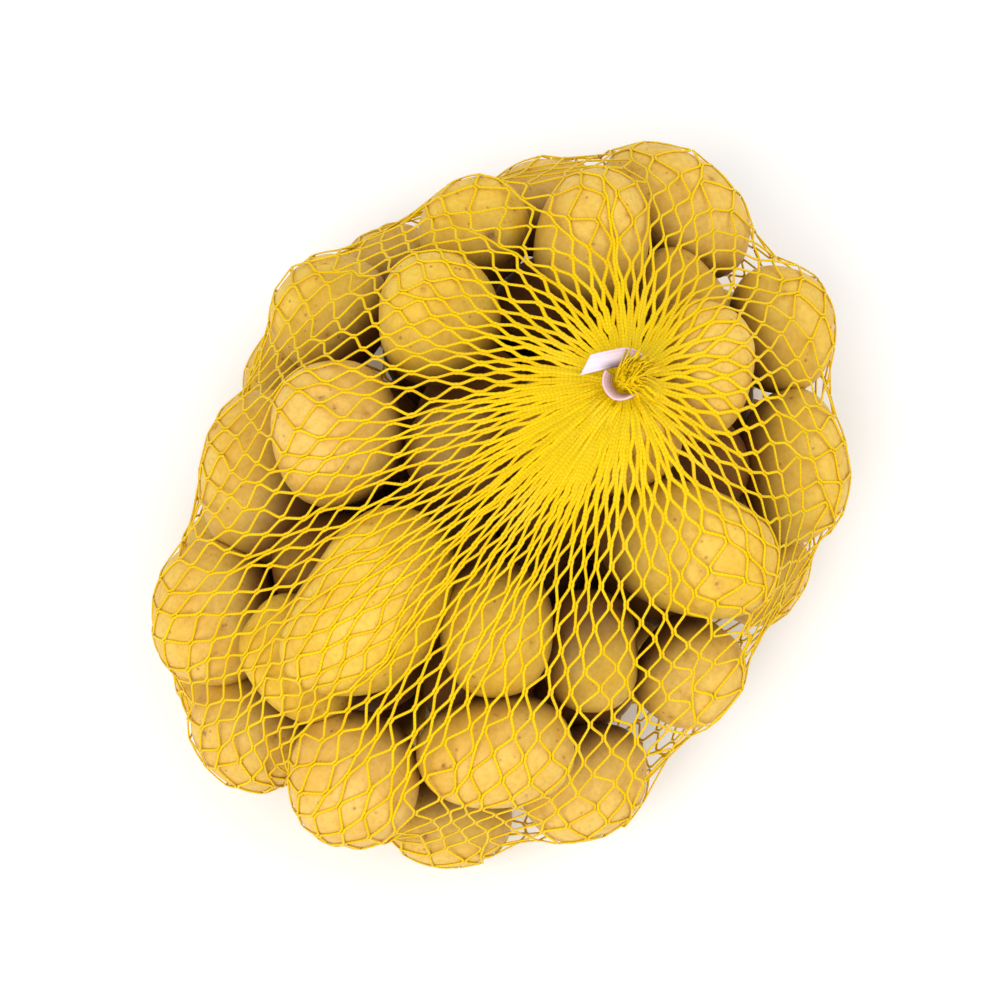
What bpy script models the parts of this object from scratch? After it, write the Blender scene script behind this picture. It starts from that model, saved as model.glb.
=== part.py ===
"""A yellow net bag full of potatoes, lying with the gathered end of its net uppermost.

Sizes are in millimetres and become metres where the meshes are made. The bag is
first laid out as it is seen from above, x to the right and y away, and is then
turned so that its long side runs along x. z is up from the surface it lies on.
"""

import math

import bpy
import numpy as np

# ---- Driving dimensions: millimetres and degrees ----

BAG_LONG = 333.0  # across the potatoes, long way and short way
BAG_WIDE = 261.0
BAG_HIGH = 154.0  # top of the potatoes
BAG_MIDDLE = 75.0  # height of the widest part
BAG_HEADING = 51.0  # the long way, from the x of the table below

THREAD = 1.2  # thickness of a net thread
MESH_SIDE = 11.3  # thread from knot to knot
KNOTS_ROUND = 56  # knots in a row round the bag
CROWDING = 0.9  # how strongly knots crowd toward the far ends
ROWS = 42  # rows of knots from neck to neck

NECK_RADIUS = 4.6  # the net drawn together inside a clip
NECK_START = 1.0  # where its count of sides is halved
TOP_NECK = (48.0, 34.0, 150.0)  # where the top neck enters its clip
BASE_NECK = (-20.0, -14.0, 24.0)  # the same at the underside, pointing down
TUFT = ((0.4, 0.8, 5.4), (2.4, 2.6, 5.0), (3.8, 3.8, 3.2))  # up, lean and radius of cut ends
TUFT_TIP = 0.6
TUFT_WAY = (0.95, 0.30)  # the way they lean

CLIP_BAND = 7.0  # width of the plastic strip that the clips are made of
CLIP_WALL = 1.1
CLIP_GAP = 0.35  # between the neck and the clip
CLIP_START, CLIP_END = 160.0, 455.0  # angles round the neck between which it is wrapped
CLIP_STEPS = 31
TOP_LEANS = ((160, 25), (270, 8), (350, 10), (440, 76))  # lean of the strip at each angle
BASE_LEANS = ((160, 0), (440, 0))
TOP_STAND, BASE_STAND = 1.6, 4.0  # distance of each clip from the start of its neck
CLIP_LIFT = 4.0  # the top strip climbs this much
CLIMB = 100.0  # over these last degrees
TAB_LONG = 15.0  # the flat tail that it ends in
TAB_TURN = 8.0  # which bears a little toward the neck
TAB_SKEW = 3.0  # and is cut askew
TAB_STATIONS = (0.15, 0.4, 0.7, 1.0)

LIE = 0.9  # lowest point of a potato above the surface, with the net under it
REST_FLAT = 2.0  # net lower than this is pressed flat on the surface
DIP = 36.0  # how deep a mesh over a gap between potatoes is let in, at most
DIP_STEP = 1.0
CORE = np.array([60.0, 25.0, 0.0])  # half sizes of the plate that meshes go in toward
NARROW = 5.0  # narrower meshes, near the necks, are flat

# Potatoes that show: x, y, z of the middle, length, width, heading of the length.
SHOWN = (
    (73, 129, 74, 72, 50, -38),
    (21, 137, 58, 52, 44, 0),
    (-12, 115, 91, 49, 46, 20),
    (38, 105, 107, 62, 49, 80),
    (-73, 84, 76, 54, 50, 60),
    (-27, 68, 117, 55, 51, 90),
    (-67, 21, 118, 60, 56, 100),
    (-17, 12, 118, 48, 43, 0),
    (-100, 9, 80, 74, 52, 92),
    (-120, -46, 72, 60, 53, 80),
    (-49, -45, 124, 76, 58, 68),
    (-4, -59, 118, 56, 48, 95),
    (-61, -115, 88, 58, 53, 90),
    (-105, -90, 50, 54, 50, -45),
    (-4, -105, 98, 64, 46, 12),
    (-24, -125, 38, 54, 46, 5),
    (33, -112, 60, 58, 47, 20),
    (36, -64, 95, 50, 43, 90),
    (77, -68, 74, 50, 46, 45),
    (76, -25, 112, 76, 54, -20),
    (121, 18, 74, 67, 47, 100),
    (118, 77, 76, 55, 48, 90),
    (77, 46, 117, 58, 48, 80),
    (37, 19, 129, 70, 51, -15),
    (109, -22, 46, 48, 42, 60),
    (-91, 68, 38, 46, 42, 60),
    (-118, -15, 34, 46, 42, 90),
    (-121, -64, 23, 46, 42, 110),
    (-47, 113, 36, 46, 42, 20),
)
# A knob on one potato: which, the way it points, and how far it stands out.
KNOBS = ((10, (-0.86, -0.46, -0.20), 0.36),)
KNOB_NARROW = 5.0
HIDDEN = 33  # potatoes that fill the inside and the underside
HIDDEN_LOW = 13  # of these, the ones that the bag lies on
HIDDEN_LONG = (50.0, 62.0)
HIDDEN_WIDE = (42.0, 50.0)
HIDDEN_ROOM = np.array([160.0, 124.0, 56.0])  # half sizes of the room they fill, above the
HIDDEN_ROOM_BELOW = np.array([160.0, 124.0, 78.0])  # bag's middle and below it
LOW_ROOM = np.array([152.0, 120.0, 1000.0])  # the ones it lies on only stay in along x and y
HEAP_FOOT = 10.0  # height of the point that hidden potatoes crowd toward
NECK_ROOM = 15.0  # potatoes keep this far from the top of the underside neck
NECK_RAISED = 4.0
CLIP_ROOM = 9.5  # and the net this far from the line of a neck, beside the clip
CLIP_BELOW = 3.0  # which starts this far short of it
THICKNESS = 0.93  # height of a potato, as a share of its width
SEED = 62

SQUARENESS = 2.25  # 2 is an ellipsoid, more is fuller at the shoulders
LUMPS = 4
LUMP_DEEP = 0.022
LUMP_WAVES = (2.0, 4.5)
TAPER = 0.05
SKIN = 0.975  # mean distance of the skin, in half sizes
NEAR = 1.15  # no skin comes farther than this

# ---- How the heap settles and how the net is drawn on ----

TRIAL_PLACES = 6000
SETTLE_ROUNDS = 500
HOLD = 0.3  # how firmly a potato that shows keeps its place
LOW_HOLD = 0.1  # and one that the bag lies on
SHOWN_GIVE = 0.25  # how much those that show give way to others
PULL = 0.25  # how far the hidden ones crowd in at each round, at first

LOOSE = 12.0  # the net starts this far outside the bag
NET_ROUNDS = 500
SLACK = 0.22  # how much of a push a slack thread gives, against its pull when taut
EVEN_FIRST, EVEN = 0.4, 0.1  # evening of the knots, in the first third and after it
FINE = 720  # steps in a fine circle

MM = 0.001
UP = np.array([0.0, 0.0, 1.0])


# ---- Potatoes ----


def turn_about_z(degrees):
    a = math.radians(degrees)
    return np.array([[math.cos(a), -math.sin(a), 0], [math.sin(a), math.cos(a), 0], [0, 0, 1]])


class Potatoes:
    """Middles, half sizes and turns of all potatoes, and the lumps of each."""

    def __init__(self, middles, halves, turns):
        self.middles = middles
        self.halves = halves
        self.turns = turns
        rng = np.random.default_rng(SEED)
        count = len(middles)
        waves = rng.normal(size=(count, LUMPS, 3))
        waves /= np.linalg.norm(waves, axis=2, keepdims=True)
        self.waves = waves * rng.uniform(*LUMP_WAVES, (count, LUMPS, 1))
        self.phases = rng.uniform(0, 2 * math.pi, (count, LUMPS))
        self.taper = rng.uniform(-TAPER, TAPER, count)
        self.knobs = np.zeros((count, 3))
        self.rise = np.zeros(count)
        for which, way, rise in KNOBS:
            self.knobs[which] = np.array(way) @ turns[which]
            self.rise[which] = rise

    def reach(self, which, rays):
        """How far each potato comes along unit rays, in its own half sizes."""
        full = SKIN * (np.abs(rays) ** SQUARENESS).sum(axis=-1) ** (-1 / SQUARENESS)
        swing = np.cos((self.waves[which] * rays[..., None, :]).sum(-1) + self.phases[which])
        knob = (self.knobs[which] * rays).sum(axis=-1) - 1
        knob = self.rise[which] * np.exp(KNOB_NARROW * knob)
        return full * (1 + self.taper[which] * rays[..., 0] + LUMP_DEEP * swing.sum(axis=-1) + knob)

    def push_out(self, points, clear):
        """Moves points that lie in a potato out to its skin, and `clear` more."""
        apart = points[:, None] - self.middles[None]
        near = (apart**2).sum(axis=2) < ((self.halves.max(axis=1) * NEAR + clear) ** 2)[None]
        rows, which = np.nonzero(near)
        if not len(rows):
            return points
        local = np.einsum("ni,nij->nj", apart[rows, which], self.turns[which])
        halves = self.halves[which] + clear
        scaled = local / halves
        depth = np.linalg.norm(scaled, axis=1) + 1e-9
        rays = scaled / depth[:, None]
        skin = self.reach(which, rays)
        inside = depth < skin
        rows, which = rows[inside], which[inside]
        moved = rays[inside] * skin[inside, None] * halves[inside]
        moved = np.einsum("nij,nj->ni", self.turns[which], moved) + self.middles[which]
        shift = moved - points[rows]
        total = np.zeros_like(points)
        count = np.zeros(len(points))
        np.add.at(total, rows, shift)
        np.add.at(count, rows, 1)
        return points + total / np.maximum(count, 1)[:, None]


def balls_of(middles, turns, halves):
    """Three balls along each potato, which stand in for it while the heap settles."""
    radius = halves[:, 1:].mean(axis=1)
    along = turns[:, :, 0] * (halves[:, 0] - radius)[:, None]
    steps = np.array([-1.0, 0.0, 1.0])
    return middles[:, None] + steps[None, :, None] * along[:, None], radius


def keep_in_bag(balls, radius, below, free, low):
    """The push that keeps hidden potatoes in the bag and all of them off the surface."""
    turn = turn_about_z(BAG_HEADING)
    local = (balls - BAG_MIDDLE * UP) @ turn
    upper = local[..., 2:] > 0
    room = np.where(upper, HIDDEN_ROOM, HIDDEN_ROOM_BELOW)
    room = np.where(low[:, None, None], LOW_ROOM, room) - radius[:, None, None]
    depth = np.linalg.norm(local / room, axis=-1, keepdims=True)
    push = (local / np.maximum(depth, 1) - local) @ turn.T * free[:, None, None]
    lift = np.maximum(0, below[:, None] + LIE - balls[..., 2])
    push[..., 2] = np.where(lift > 0, lift, push[..., 2])
    return push.mean(axis=1)


def keep_off_base_neck(balls, radius):
    apart = balls - np.array(BASE_NECK) + NECK_RAISED * UP
    far = np.linalg.norm(apart, axis=-1)
    over = np.maximum(0, radius[:, None] + NECK_ROOM - far)
    return (apart / far[..., None] * over[..., None]).mean(axis=1)


def settle(middles, turns, halves, free, low):
    """Pushes potatoes apart: shown ones stay near their places, hidden ones fill up."""
    places = middles.copy()
    count = len(middles)
    hold = np.where(low, LOW_HOLD, HOLD)[:, None]
    crowding = (free & ~low)[:, None]
    owner = np.repeat(np.arange(count), 3)
    other = owner[:, None] != owner[None]
    for step in range(SETTLE_ROUNDS):
        balls, radius = balls_of(middles, turns, halves)
        spots = balls.reshape(-1, 3)
        sizes = np.repeat(radius, 3)
        apart = spots[:, None] - spots[None]
        far = np.linalg.norm(apart, axis=2) + 1e-9
        over = np.maximum(0, sizes[:, None] + sizes[None] - far) * other
        shove = (over / far)[:, :, None] * apart * 0.5
        push = np.zeros((count, 3))
        touching = np.zeros(count)
        np.add.at(push, owner, shove.sum(axis=1))
        np.add.at(touching, owner, (over > 0).sum(axis=1))
        push /= np.maximum(1, touching / 2)[:, None]
        give = np.where(free, 1.0, SHOWN_GIVE)[:, None]
        toward = np.array([0, 0, HEAP_FOOT]) - middles
        toward /= np.linalg.norm(toward, axis=1)[:, None] + 1e-9
        pull = PULL * (1 - step / SETTLE_ROUNDS) * toward
        drift = np.where(crowding, pull, hold * (places - middles))
        middles = middles + push * give + drift
        middles = middles + keep_in_bag(balls, radius, halves[:, 2], free, low)
        middles = middles + keep_off_base_neck(balls, radius)
        middles[:, 2] = np.where(low, halves[:, 2] + LIE, middles[:, 2])
    return middles


def open_places(middles, rng):
    """Places for the hidden potatoes, each as far as can be from all placed so far."""
    spots = rng.uniform(-1, 1, (TRIAL_PLACES, 3))
    spots = spots[(spots**2).sum(axis=1) < 1]
    low = spots * (LOW_ROOM - HIDDEN_WIDE[1] / 2) * (1, 1, 0)
    spots *= np.where(spots[:, 2:] > 0, HIDDEN_ROOM, HIDDEN_ROOM_BELOW) - HIDDEN_WIDE[1] / 2
    turn = turn_about_z(BAG_HEADING)
    low = low @ turn.T + HIDDEN_WIDE[0] / 2 * UP
    spots = spots @ turn.T + BAG_MIDDLE * UP
    found = [np.array([BASE_NECK])]
    for spots, count in ((low, HIDDEN_LOW), (spots, HIDDEN - HIDDEN_LOW)):
        for _ in range(count):
            have = np.vstack([middles] + found)
            room = np.linalg.norm(spots[:, None] - have[None], axis=2).min(axis=1)
            found.append(spots[room.argmax()][None])
    return np.vstack(found[1:])


def make_potatoes():
    rng = np.random.default_rng(SEED)
    shown = np.array(SHOWN, float)
    places = np.vstack([shown[:, :3], open_places(shown[:, :3], rng)])
    long = np.concatenate([shown[:, 3], rng.uniform(*HIDDEN_LONG, HIDDEN)])
    wide = np.concatenate([shown[:, 4], rng.uniform(*HIDDEN_WIDE, HIDDEN)])
    heading = np.concatenate([shown[:, 5], rng.uniform(0, 180, HIDDEN)])
    halves = np.stack([long, wide, wide * THICKNESS], axis=1) / 2
    turns = np.stack([turn_about_z(a) for a in heading])
    free = np.arange(len(places)) >= len(SHOWN)
    low = free & (np.arange(len(places)) < len(SHOWN) + HIDDEN_LOW)
    return Potatoes(settle(places, turns, halves, free, low), halves, turns)


# ---- Net ----


def net_links():
    """The four knots that each knot is tied to, as indices into the flat list."""
    rows, places = np.meshgrid(np.arange(ROWS + 1), np.arange(KNOTS_ROUND), indexing="ij")
    shift = np.where(rows % 2 == 0, -1, 1)
    links = []
    for step in (-1, 1):
        for side in (0, shift):
            row = np.clip(rows + step, 0, ROWS)
            links.append(row * KNOTS_ROUND + (places + side) % KNOTS_ROUND)
    return np.stack(links, axis=-1).reshape(-1, 4)


def balloon_half():
    return np.array([BAG_LONG / 2, BAG_WIDE / 2, BAG_HIGH - BAG_MIDDLE]) + LOOSE


def net_axis(share):
    """Way up the net, and two ways across it, at a share of the path from top to base."""
    top = np.array(TOP_NECK) - BAG_MIDDLE * UP
    base = np.array([BASE_NECK[0], BASE_NECK[1], -balloon_half()[2]])
    along = (1 - share) * top / np.linalg.norm(top) - share * base / np.linalg.norm(base)
    along /= np.linalg.norm(along)
    across = np.cross(UP, along)
    across /= np.linalg.norm(across)
    return along, across, np.cross(along, across)


def round_angles():
    """Angles of whole and half knot places: more of them toward the bag's far ends."""
    _, across, third = net_axis(0.0)
    fine = np.linspace(0, 2 * math.pi, FINE + 1)
    rays = np.cos(fine)[:, None] * across + np.sin(fine)[:, None] * third
    flat = (rays @ turn_about_z(BAG_HEADING))[:, :2]
    flat /= np.linalg.norm(flat, axis=1)[:, None]
    start = (np.array(TOP_NECK) * (1, 1, 0) @ turn_about_z(BAG_HEADING))[:2]
    half = np.array([BAG_LONG, BAG_WIDE]) / 2
    a = ((flat / half) ** 2).sum(axis=1)
    b = (flat * start / half**2).sum(axis=1)
    c = ((start / half) ** 2).sum() - 1
    edge = (np.sqrt(b * b - a * c) - b) / a
    share = np.concatenate([[0], np.cumsum((edge[1:] + edge[:-1]) ** CROWDING)])
    places = np.arange(2 * KNOTS_ROUND) / (2 * KNOTS_ROUND)
    return np.interp(places, share / share[-1], fine)


def neck_ring(neck, share):
    angles = round_angles()[::2]
    _, across, third = net_axis(share)
    rays = np.cos(angles)[:, None] * across + np.sin(angles)[:, None] * third
    rays[:, 2] = 0
    rays /= np.linalg.norm(rays, axis=1)[:, None]
    return np.array(neck) + NECK_RADIUS * rays


def loose_net():
    """Knots on a balloon round the bag, before the net is drawn tight."""
    turn = turn_about_z(BAG_HEADING)
    angles = round_angles()
    rows = []
    for row in range(ROWS + 1):
        along, across, third = net_axis(row / ROWS)
        tilt = math.pi * row / ROWS
        a = angles[row % 2 :: 2][:, None]
        rays = math.sin(tilt) * (np.cos(a) * across + np.sin(a) * third) + math.cos(tilt) * along
        stretch = 1 / np.linalg.norm(rays @ turn / balloon_half(), axis=-1, keepdims=True)
        rows.append(BAG_MIDDLE * UP + rays * stretch)
    rows[0] = neck_ring(TOP_NECK, 0.0)
    rows[-1] = neck_ring(BASE_NECK, 1.0)
    return np.vstack(rows)


def keep_off_clips(knots):
    """Moves knots that are beside a clip out from the line of its neck."""
    for neck, way in ((TOP_NECK, 1), (BASE_NECK, -1)):
        aside = (knots - np.array(neck)) * (1, 1, 0)
        far = np.linalg.norm(aside, axis=1) + 1e-9
        beside = (far < CLIP_ROOM) & ((knots[:, 2] - neck[2]) * way > -CLIP_BELOW)
        knots = knots + np.where(beside, CLIP_ROOM / far - 1, 0)[:, None] * aside
    return knots


def draw_tight(knots, potatoes):
    """Lets the threads pull the knots onto the potatoes and down to the surface."""
    links = net_links()
    row = np.repeat(np.arange(ROWS + 1), KNOTS_ROUND)
    held = (row == 0) | (row == ROWS)
    clear = THREAD / 2
    for number in range(NET_ROUNDS):
        apart = knots[links] - knots[:, None]
        far = np.linalg.norm(apart, axis=2) + 1e-9
        stretch = far - MESH_SIDE
        gain = np.where(stretch > 0, 1.0, SLACK)
        step = ((gain * stretch / far)[..., None] * apart).mean(axis=1)
        even = (EVEN_FIRST if number < NET_ROUNDS / 3 else EVEN) * apart.mean(axis=1)
        moved = keep_off_clips(potatoes.push_out(knots + step + even, clear))
        moved[:, 2] = np.maximum(moved[:, 2], 0)
        knots = np.where(held[:, None], knots, moved)
    return knots


def mesh_corners():
    """Top, left, low and right knot of each mesh."""
    corners = []
    for row in range(1, ROWS):
        for place in range(KNOTS_ROUND):
            left = (place - row % 2) % KNOTS_ROUND
            right = (left + 1) % KNOTS_ROUND
            around = ((row - 1, place), (row, left), (row + 1, place), (row, right))
            corners.append([r * KNOTS_ROUND + p for r, p in around])
    return np.array(corners)


def let_in(points, potatoes):
    """Takes points toward the bag's core, up to a potato and at most DIP, or out of one."""
    turn = turn_about_z(BAG_HEADING)
    local = (points - BAG_MIDDLE * UP) @ turn
    inward = (np.clip(local, -CORE, CORE) - local) @ turn.T
    inward /= np.linalg.norm(inward, axis=1)[:, None]
    room = ((potatoes.push_out(points, 0.0) - points) * inward).sum(axis=1)
    free = room == 0
    for step in np.arange(DIP_STEP, DIP + DIP_STEP / 2, DIP_STEP):
        tried = points + step * inward
        free &= (potatoes.push_out(tried, 0.0) == tried).all(axis=1)
        room[free] = step
    return points + room[:, None] * inward


def net_meshes(knots, potatoes):
    """Points and triangles of the meshes, each let in as far as the potatoes allow."""
    corners = mesh_corners()
    top, left, low, right = (knots[corners[:, i]] for i in range(4))
    width = np.linalg.norm(right - left, axis=1)
    middles = let_in((top + left + low + right) / 4, potatoes)
    added, faces = [], []
    for rim, middle, wide in zip(corners, middles, width):
        if wide < NARROW:
            faces += [(rim[0], rim[1], rim[3]), (rim[1], rim[2], rim[3])]
        else:
            first = len(knots) + len(added)
            added.append(middle)
            faces += [(first, rim[i], rim[(i + 1) % 4]) for i in range(4)]
    return np.vstack([knots, added]), faces


def end_faces():
    """The half meshes beside the first and the last row of knots."""
    end = ROWS * KNOTS_ROUND
    faces = []
    for place in range(KNOTS_ROUND):
        after = (place + 1) % KNOTS_ROUND
        faces.append((place, KNOTS_ROUND + place, after))
        faces.append((end - KNOTS_ROUND + place, end + place, end + after))
    return faces


def add_neck(points, faces, ring, neck, stand, way, lean):
    """Carries the net on through a clip: half as many sides, then the cut ends."""
    sides = KNOTS_ROUND // 2
    rays = points[ring][::2] - np.array(neck)
    rays /= np.linalg.norm(rays, axis=1)[:, None]
    first = len(points)
    end = stand + CLIP_BAND
    stages = [(NECK_START, 0.0, NECK_RADIUS), (end, 0.0, NECK_RADIUS)]
    stages += [(end + up, over, radius) for up, over, radius in TUFT]
    rings = []
    for up, over, radius in stages:
        middle = np.array(neck) + np.array([over * lean[0], over * lean[1], way * up])
        rings.append(middle + radius * rays)
    tip = np.array(neck) + np.array([over * lean[0], over * lean[1], way * (up + TUFT_TIP)])
    new = []
    for i in range(sides):
        j = (i + 1) % sides
        a, b, c = ring[2 * i], ring[2 * i + 1], ring[(2 * i + 2) % KNOTS_ROUND]
        new += [(first + i, a, b), (first + i, b, first + j), (first + j, b, c)]
        for stage in range(len(stages) - 1):
            low = first + stage * sides
            high = low + sides
            new += [(high + i, low + i, low + j), (high + i, low + j, high + j)]
        last = first + (len(stages) - 1) * sides
        new.append((first + len(stages) * sides, last + i, last + j))
    if way < 0:
        new = [(a, c, b) for a, b, c in new]
    return np.vstack([points] + rings + [tip[None]]), faces + new


def net_solid(potatoes):
    """Points and triangles of the full net as one closed body."""
    knots = draw_tight(loose_net(), potatoes)
    points, faces = net_meshes(knots, potatoes)
    faces = faces + end_faces()
    points[:, 2] = np.maximum(points[:, 2], 0)
    top_ring = np.arange(KNOTS_ROUND)
    base_ring = top_ring + ROWS * KNOTS_ROUND
    points, faces = add_neck(points, faces, top_ring, TOP_NECK, TOP_STAND, 1, TUFT_WAY)
    points, faces = add_neck(points, faces, base_ring, BASE_NECK, BASE_STAND, -1, (0, 0))
    points[:, 2] = np.where(points[:, 2] < REST_FLAT, 0, points[:, 2])
    return points, faces


# ---- Clips ----


def clip_stations(leaning, tab):
    """Foot, lean and outward way of the strip along its wrap, and along its tail."""
    radius = NECK_RADIUS + CLIP_GAP + CLIP_WALL / 2
    angles, leans = zip(*leaning)
    stations = []
    for angle in np.linspace(CLIP_START, CLIP_END, CLIP_STEPS):
        a = math.radians(angle)
        out = np.array([math.cos(a), math.sin(a), 0])
        climb = min(1, max(0, (angle - CLIP_END + CLIMB) / CLIMB))
        lift = tab * CLIP_LIFT * climb * climb * (3 - 2 * climb) * UP
        stations.append((radius * out + lift, np.interp(angle, angles, leans), out))
    if tab:
        ahead = turn_about_z(TAB_TURN) @ np.array([-out[1], out[0], 0])
        out = np.array([ahead[1], -ahead[0], 0])
        foot = stations[-1][0]
        for share in TAB_STATIONS:
            stations.append((foot + share * TAB_LONG * ahead, leans[-1], out))
    return stations


def clip_solid(neck, way, stand, leaning, tab):
    """A plastic strip wrapped round a neck, leaning outward, and its flat tail."""
    corners = []
    stations = clip_stations(leaning, tab)
    for number, (foot, lean, out) in enumerate(stations):
        a = math.radians(lean)
        rise = math.cos(a) * UP + math.sin(a) * out
        thick = CLIP_WALL / 2 * (math.cos(a) * out - math.sin(a) * UP)
        ahead = np.cross(UP, out)
        skew = TAB_SKEW * (tab and number == len(stations) - 1) * ahead
        for side, up in ((-1, 0), (1, 0), (1, 1), (-1, 1)):
            corners.append(foot + side * thick + up * CLIP_BAND * rise + (1 - 2 * up) * skew)
    points = np.array(corners)
    points[:, 2] = (points[:, 2] + stand) * way
    points = points + np.array(neck)
    faces = [(0, 3, 2, 1)]
    for start in range(0, len(points) - 4, 4):
        for i in range(4):
            j = (i + 1) % 4
            faces.append((start + i, start + j, start + j + 4, start + i + 4))
    end = len(points) - 4
    faces.append((end, end + 1, end + 2, end + 3))
    if way > 0:
        faces = [face[::-1] for face in faces]
    return points, faces


# ---- Blender objects ----


def add_material(name, colour, roughness):
    material = bpy.data.materials.new(name)
    material.use_nodes = True
    shader = material.node_tree.nodes["Principled BSDF"]
    shader.inputs["Base Color"].default_value = (*colour, 1)
    shader.inputs["Roughness"].default_value = roughness
    material.diffuse_color = (*colour, 1)
    return material


def add_object(name, points, faces, material):
    mesh = bpy.data.meshes.new(name)
    mesh.from_pydata([tuple(point) for point in points], [], [tuple(map(int, f)) for f in faces])
    mesh.validate()
    mesh.materials.append(material)
    made = bpy.data.objects.new(name, mesh)
    bpy.context.scene.collection.objects.link(made)
    return made


def main():
    for old in list(bpy.data.objects):
        bpy.data.objects.remove(old)
    points, faces = net_solid(make_potatoes())
    turn = turn_about_z(BAG_HEADING)
    turned = points @ turn
    centre = (turned.min(axis=0) + turned.max(axis=0)) / 2 * (1, 1, 0)
    net = add_material("net_and_potatoes", (0.80, 0.55, 0.10), 0.5)
    plastic = add_material("clip_plastic", (0.88, 0.84, 0.88), 0.35)
    add_object("net_bag", (turned - centre) * MM, faces, net)
    clips = {
        "top_clip": clip_solid(TOP_NECK, 1, TOP_STAND, TOP_LEANS, True),
        "base_clip": clip_solid(BASE_NECK, -1, BASE_STAND, BASE_LEANS, False),
    }
    for name, (points, faces) in clips.items():
        add_object(name, (points @ turn - centre) * MM, faces, plastic)


if __name__ == "__main__":
    main()
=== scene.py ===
"""Looks of the net bag of potatoes: the potatoes, every strand of the net, and the clips.

Lengths are in millimetres until a mesh is made. As in the CAD source, the bag is laid
out as it is seen from above, x to the right and y away, and `place` turns it into the
frame. The potatoes and the net repeat the CAD source's steps, but the net has a number
of knots of its own and is let down from further out.
"""

import math

import bpy
import numpy as np
from mathutils import Matrix, Vector
from mathutils.kdtree import KDTree

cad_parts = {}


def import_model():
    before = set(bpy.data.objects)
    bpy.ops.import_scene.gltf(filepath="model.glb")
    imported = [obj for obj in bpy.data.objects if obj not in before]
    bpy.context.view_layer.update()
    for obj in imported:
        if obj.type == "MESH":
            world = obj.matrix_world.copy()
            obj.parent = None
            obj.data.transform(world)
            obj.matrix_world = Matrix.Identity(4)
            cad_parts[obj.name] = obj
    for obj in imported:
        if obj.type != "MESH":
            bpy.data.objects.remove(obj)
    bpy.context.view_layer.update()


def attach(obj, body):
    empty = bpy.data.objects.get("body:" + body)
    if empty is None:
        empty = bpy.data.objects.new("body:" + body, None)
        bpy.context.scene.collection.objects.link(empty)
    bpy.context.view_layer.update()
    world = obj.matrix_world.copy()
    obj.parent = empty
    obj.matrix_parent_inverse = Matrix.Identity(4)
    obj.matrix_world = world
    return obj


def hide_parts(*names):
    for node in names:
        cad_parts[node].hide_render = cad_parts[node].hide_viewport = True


# ---- As in the CAD: millimetres and degrees ----

BAG_LONG = 333.0  # across the potatoes, long way and short way
BAG_WIDE = 261.0
BAG_HIGH = 154.0  # top of the potatoes
BAG_MIDDLE = 75.0  # height of the widest part
BAG_HEADING = 51.0  # the long way, from the x of the table below
BAG_CENTRE = (4.788, 3.850)  # middle of the turned bag's outline

THREAD = 1.2  # thickness of a net thread
MESH_SIDE = 11.3  # thread from knot to knot
CROWDING = 0.9  # how strongly knots crowd toward the far ends

NECK_RADIUS = 4.6  # the net drawn together inside a clip
TOP_NECK = (48.0, 34.0, 150.0)  # where the top neck enters its clip
BASE_NECK = (-20.0, -14.0, 24.0)  # the one at the underside, pointing down
TUFT_WAY = (0.95, 0.30)  # lean of the top clip's cut ends

CLIP_BAND = 7.0  # width of the clips' plastic strip
CLIP_WALL = 1.1
CLIP_GAP = 0.35  # between the neck and the clip
CLIP_START, CLIP_END = 160.0, 455.0  # from and to these angles round the neck
BASE_LEANS = ((160, 0), (440, 0))
TOP_STAND, BASE_STAND = 1.6, 4.0  # from the start of its neck to each clip
CLIP_LIFT = 4.0  # the top strip climbs this much
CLIMB = 100.0  # over these last degrees
TAB_LONG = 15.0  # the flat tail that it ends in
TAB_TURN = 8.0  # which bears a little toward the neck
TAB_SKEW = 3.0  # and is cut askew

LIE = 0.9  # lowest point of a potato above the surface, with the net under it

# Potatoes that show: x, y, z of the middle, length, width, heading of the length.
SHOWN = (
    (73, 129, 74, 72, 50, -38),
    (21, 137, 58, 52, 44, 0),
    (-12, 115, 91, 49, 46, 20),
    (38, 105, 107, 62, 49, 80),
    (-73, 84, 76, 54, 50, 60),
    (-27, 68, 117, 55, 51, 90),
    (-67, 21, 118, 60, 56, 100),
    (-17, 12, 118, 48, 43, 0),
    (-100, 9, 80, 74, 52, 92),
    (-120, -46, 72, 60, 53, 80),
    (-49, -45, 124, 76, 58, 68),
    (-4, -59, 118, 56, 48, 95),
    (-61, -115, 88, 58, 53, 90),
    (-105, -90, 50, 54, 50, -45),
    (-4, -105, 98, 64, 46, 12),
    (-24, -125, 38, 54, 46, 5),
    (33, -112, 60, 58, 47, 20),
    (36, -64, 95, 50, 43, 90),
    (77, -68, 74, 50, 46, 45),
    (76, -25, 112, 76, 54, -20),
    (121, 18, 74, 67, 47, 100),
    (118, 77, 76, 55, 48, 90),
    (77, 46, 117, 58, 48, 80),
    (37, 19, 129, 70, 51, -15),
    (109, -22, 46, 48, 42, 60),
    (-91, 68, 38, 46, 42, 60),
    (-118, -15, 34, 46, 42, 90),
    (-121, -64, 23, 46, 42, 110),
    (-47, 113, 36, 46, 42, 20),
)
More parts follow.
